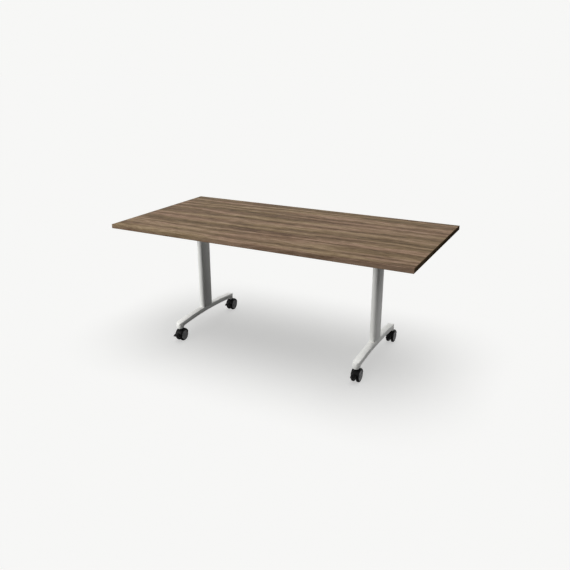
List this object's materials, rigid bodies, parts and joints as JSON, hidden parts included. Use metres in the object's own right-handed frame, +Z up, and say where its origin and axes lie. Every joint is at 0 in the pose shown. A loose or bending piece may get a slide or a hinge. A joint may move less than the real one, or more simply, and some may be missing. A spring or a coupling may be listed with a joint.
{
  "type": "flip top training table",
  "caption": "Rectangular wood-grain table on two grey column legs with arched feet and braked castors; the top unlatches and flips upright for storage.",
  "frame": {"origin": "on the floor, under the middle of the top", "axes": "+X along the table's length, +Y from the sitter's edge to the back edge, +Z up"},
  "size_m": [1.8, 0.9, 0.74],
  "materials": {
    "laminate": "satin walnut laminate",
    "edging": "satin",
    "grey_paint": "light grey powder coat",
    "beam_paint": "grey powder coat",
    "cast_aluminium": "as cast",
    "steel": "zinc plated",
    "black_plastic": "moulded",
    "grey_plastic": "moulded",
    "tyre_rubber": "matte",
    "stop_rubber": "matte"
  },
  "bodies": {
    "base": {"foot_left": "grey_paint", "column_left": "grey_paint", "fork_head_left": "cast_aluminium", "pivot_pin_left": "steel", "stop_pin_left": "steel", "stop_sleeve_left": "stop_rubber", "foot_right": "grey_paint", "column_right": "grey_paint", "fork_head_right": "cast_aluminium", "pivot_pin_right": "steel", "stop_pin_right": "steel", "stop_sleeve_right": "stop_rubber", "cross_beam": "beam_paint", "castor_stem_front_left": "steel", "castor_stem_back_left": "steel", "castor_stem_front_right": "steel", "castor_stem_back_right": "steel"},
    "top": {"top_board": "laminate", "edge_band_front": "edging", "edge_band_back": "edging", "edge_band_left": "edging", "edge_band_right": "edging", "tilt_arm_left": "cast_aluminium", "tilt_arm_right": "cast_aluminium", "return_spring": "steel"},
    "latch": {"latch_hook_left": "steel", "shaft_clip_left": "steel", "latch_hook_right": "steel", "shaft_clip_right": "steel", "release_shaft": "steel", "release_paddle": "black_plastic"},
    "castor_front_left": {"castor_body_front_left": "black_plastic", "castor_axle_front_left": "steel"},
    "pedal_front_left": {"brake_pedal_front_left": "black_plastic"},
    "wheel_front_left_left": {"tyre_front_left_left": "tyre_rubber", "wheel_centre_front_left_left": "grey_plastic"},
    "wheel_front_left_right": {"tyre_front_left_right": "tyre_rubber", "wheel_centre_front_left_right": "grey_plastic"},
    "castor_back_left": {"castor_body_back_left": "black_plastic", "castor_axle_back_left": "steel"},
    "pedal_back_left": {"brake_pedal_back_left": "black_plastic"},
    "wheel_back_left_left": {"tyre_back_left_left": "tyre_rubber", "wheel_centre_back_left_left": "grey_plastic"},
    "wheel_back_left_right": {"tyre_back_left_right": "tyre_rubber", "wheel_centre_back_left_right": "grey_plastic"},
    "castor_front_right": {"castor_body_front_right": "black_plastic", "castor_axle_front_right": "steel"},
    "pedal_front_right": {"brake_pedal_front_right": "black_plastic"},
    "wheel_front_right_left": {"tyre_front_right_left": "tyre_rubber", "wheel_centre_front_right_left": "grey_plastic"},
    "wheel_front_right_right": {"tyre_front_right_right": "tyre_rubber", "wheel_centre_front_right_right": "grey_plastic"},
    "castor_back_right": {"castor_body_back_right": "black_plastic", "castor_axle_back_right": "steel"},
    "pedal_back_right": {"brake_pedal_back_right": "black_plastic"},
    "wheel_back_right_left": {"tyre_back_right_left": "tyre_rubber", "wheel_centre_back_right_left": "grey_plastic"},
    "wheel_back_right_right": {"tyre_back_right_right": "tyre_rubber", "wheel_centre_back_right_right": "grey_plastic"}
  },
  "joints": [
    {"name": "top_flip", "type": "hinge", "parent": "base", "child": "top", "pos_m": [0, 0.015, 0.643], "axis": [-1, 0, 0], "range_deg": [0, 90]},
    {"name": "latch_turn", "type": "hinge", "parent": "top", "child": "latch", "pos_m": [0, -0.031, 0.681], "axis": [1, 0, 0], "range_deg": [0, 14]},
    {"name": "swivel_front_left", "type": "hinge", "parent": "base", "child": "castor_front_left", "pos_m": [-0.579, -0.289, 0.07], "axis": [0, 0, 1], "continuous": true},
    {"name": "brake_front_left", "type": "hinge", "parent": "castor_front_left", "child": "pedal_front_left", "pos_m": [-0.579, -0.319, 0.0515], "axis": [1, 0, 0], "range_deg": [0, 18]},
    {"name": "spin_front_left_left", "type": "hinge", "parent": "castor_front_left", "child": "wheel_front_left_left", "pos_m": [-0.579, -0.271, 0.0375], "axis": [1, 0, 0], "continuous": true},
    {"name": "spin_front_left_right", "type": "hinge", "parent": "castor_front_left", "child": "wheel_front_left_right", "pos_m": [-0.579, -0.271, 0.0375], "axis": [1, 0, 0], "continuous": true},
    {"name": "swivel_back_left", "type": "hinge", "parent": "base", "child": "castor_back_left", "pos_m": [-0.579, 0.289, 0.07], "axis": [0, 0, 1], "continuous": true},
    {"name": "brake_back_left", "type": "hinge", "parent": "castor_back_left", "child": "pedal_back_left", "pos_m": [-0.579, 0.259, 0.0515], "axis": [1, 0, 0], "range_deg": [0, 18]},
    {"name": "spin_back_left_left", "type": "hinge", "parent": "castor_back_left", "child": "wheel_back_left_left", "pos_m": [-0.579, 0.307, 0.0375], "axis": [1, 0, 0], "continuous": true},
    {"name": "spin_back_left_right", "type": "hinge", "parent": "castor_back_left", "child": "wheel_back_left_right", "pos_m": [-0.579, 0.307, 0.0375], "axis": [1, 0, 0], "continuous": true},
    {"name": "swivel_front_right", "type": "hinge", "parent": "base", "child": "castor_front_right", "pos_m": [0.579, -0.289, 0.07], "axis": [0, 0, 1], "continuous": true},
    {"name": "brake_front_right", "type": "hinge", "parent": "castor_front_right", "child": "pedal_front_right", "pos_m": [0.579, -0.319, 0.0515], "axis": [1, 0, 0], "range_deg": [0, 18]},
    {"name": "spin_front_right_left", "type": "hinge", "parent": "castor_front_right", "child": "wheel_front_right_left", "pos_m": [0.579, -0.271, 0.0375], "axis": [1, 0, 0], "continuous": true},
    {"name": "spin_front_right_right", "type": "hinge", "parent": "castor_front_right", "child": "wheel_front_right_right", "pos_m": [0.579, -0.271, 0.0375], "axis": [1, 0, 0], "continuous": true},
    {"name": "swivel_back_right", "type": "hinge", "parent": "base", "child": "castor_back_right", "pos_m": [0.579, 0.289, 0.07], "axis": [0, 0, 1], "continuous": true},
    {"name": "brake_back_right", "type": "hinge", "parent": "castor_back_right", "child": "pedal_back_right", "pos_m": [0.579, 0.259, 0.0515], "axis": [1, 0, 0], "range_deg": [0, 18]},
    {"name": "spin_back_right_left", "type": "hinge", "parent": "castor_back_right", "child": "wheel_back_right_left", "pos_m": [0.579, 0.307, 0.0375], "axis": [1, 0, 0], "continuous": true},
    {"name": "spin_back_right_right", "type": "hinge", "parent": "castor_back_right", "child": "wheel_back_right_right", "pos_m": [0.579, 0.307, 0.0375], "axis": [1, 0, 0], "continuous": true}
  ]
}
